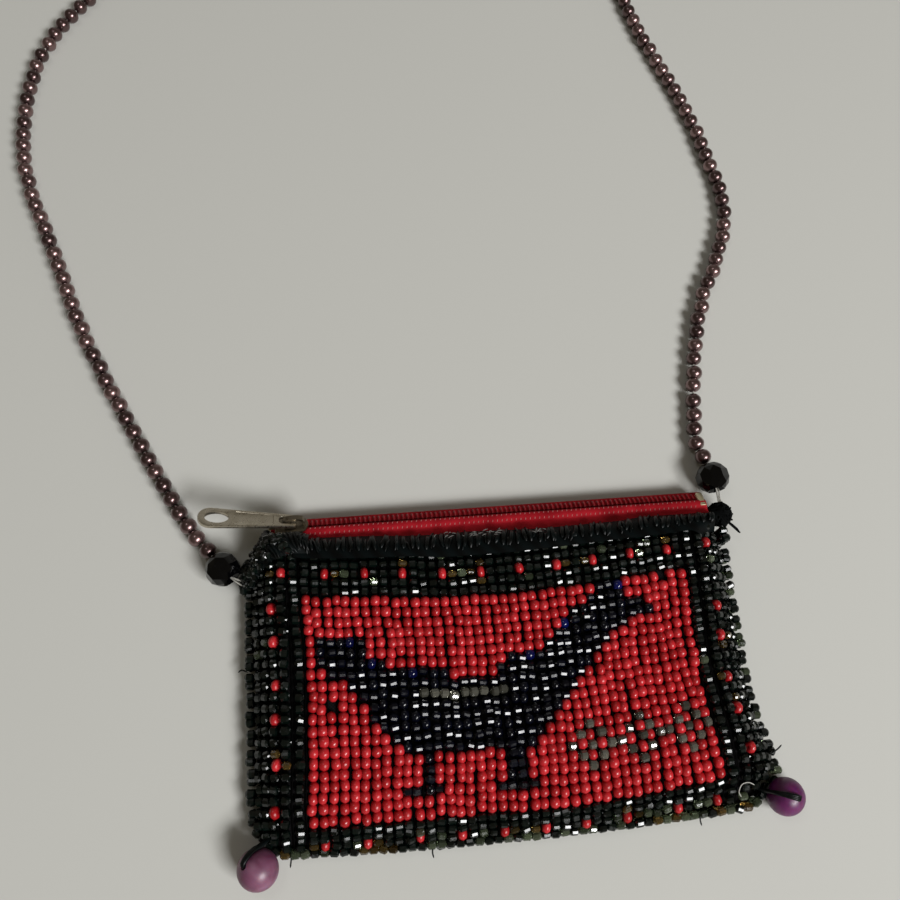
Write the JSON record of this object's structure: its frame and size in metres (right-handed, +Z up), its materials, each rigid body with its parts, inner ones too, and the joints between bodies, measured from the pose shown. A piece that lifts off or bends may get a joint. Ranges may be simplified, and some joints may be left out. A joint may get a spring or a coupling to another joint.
{
  "type": "beaded coin purse",
  "caption": "Flat coin purse of loomed glass seed beads with a bird on a red field, a dark border, a zip mouth, corner beads and a long strap of small pearls.",
  "frame": {"origin": "middle of the purse's footprint on the surface that it lies on, without the strap", "axes": "+X along the purse's width, +Y towards the zip mouth, +Z up out of the beaded front"},
  "size_m": [0.1966, 0.3081, 0.0125],
  "materials": {
    "dark_beads": "glossy dark green-black cut glass seed beads",
    "red_beads": "glossy opaque red glass seed beads",
    "bird_beads": "glossy blue-black cut glass seed beads",
    "lining_cloth": "plain woven dark cotton",
    "red_tape": "red herringbone zip tape",
    "red_coil": "red nylon zip coil",
    "black_thread": "thick black sewing thread and whip stitches",
    "nickel": "worn warm nickel plate",
    "mauve_bead": "cloudy mauve bead, satin",
    "purple_bead": "cloudy purple bead, satin",
    "strap_pearls": "brown-mauve pearl coating on glass, lustrous",
    "black_glass": "black faceted glass, polished",
    "nylon_thread": "clear nylon beading thread"
  },
  "bodies": {
    "purse": {"front_border_beads": "dark_beads", "red_field_beads": "red_beads", "bird_beads": "bird_beads", "back_border_beads": "dark_beads", "back_field_beads": "red_beads", "left_edge_beads": "dark_beads", "right_edge_beads": "dark_beads", "bottom_edge_beads": "dark_beads", "lining": "lining_cloth", "front_zip_coil": "red_coil", "back_zip_coil": "red_coil", "front_zip_tape": "red_tape", "back_zip_tape": "red_tape", "front_mouth_cloth": "black_thread", "back_mouth_cloth": "black_thread", "left_corner_tab": "black_thread", "right_corner_knot": "black_thread", "zip_bottom_stop": "nickel", "front_top_stop": "nickel", "back_top_stop": "nickel", "left_corner_bead": "mauve_bead", "right_corner_bead": "purple_bead", "left_corner_thread": "black_thread", "right_corner_thread": "black_thread", "strap_strand": "strap_pearls", "left_end_bead": "black_glass", "right_end_bead": "black_glass", "left_strap_thread": "nylon_thread", "right_strap_thread": "nylon_thread"},
    "slider": {"zip_slider": "nickel"},
    "pull": {"pull_tab": "nickel"}
  },
  "joints": [
    {"name": "zip_slide", "type": "slide", "parent": "purse", "child": "slider", "axis": [1, 0, 0], "range_m": [0, 0.0915]},
    {"name": "pull_hinge", "type": "hinge", "parent": "slider", "child": "pull", "pos_m": [-0.04342, 0.03629, 0.00787], "axis": [0, 0.8988, -0.4384], "range_deg": [-10, 170]}
  ]
}
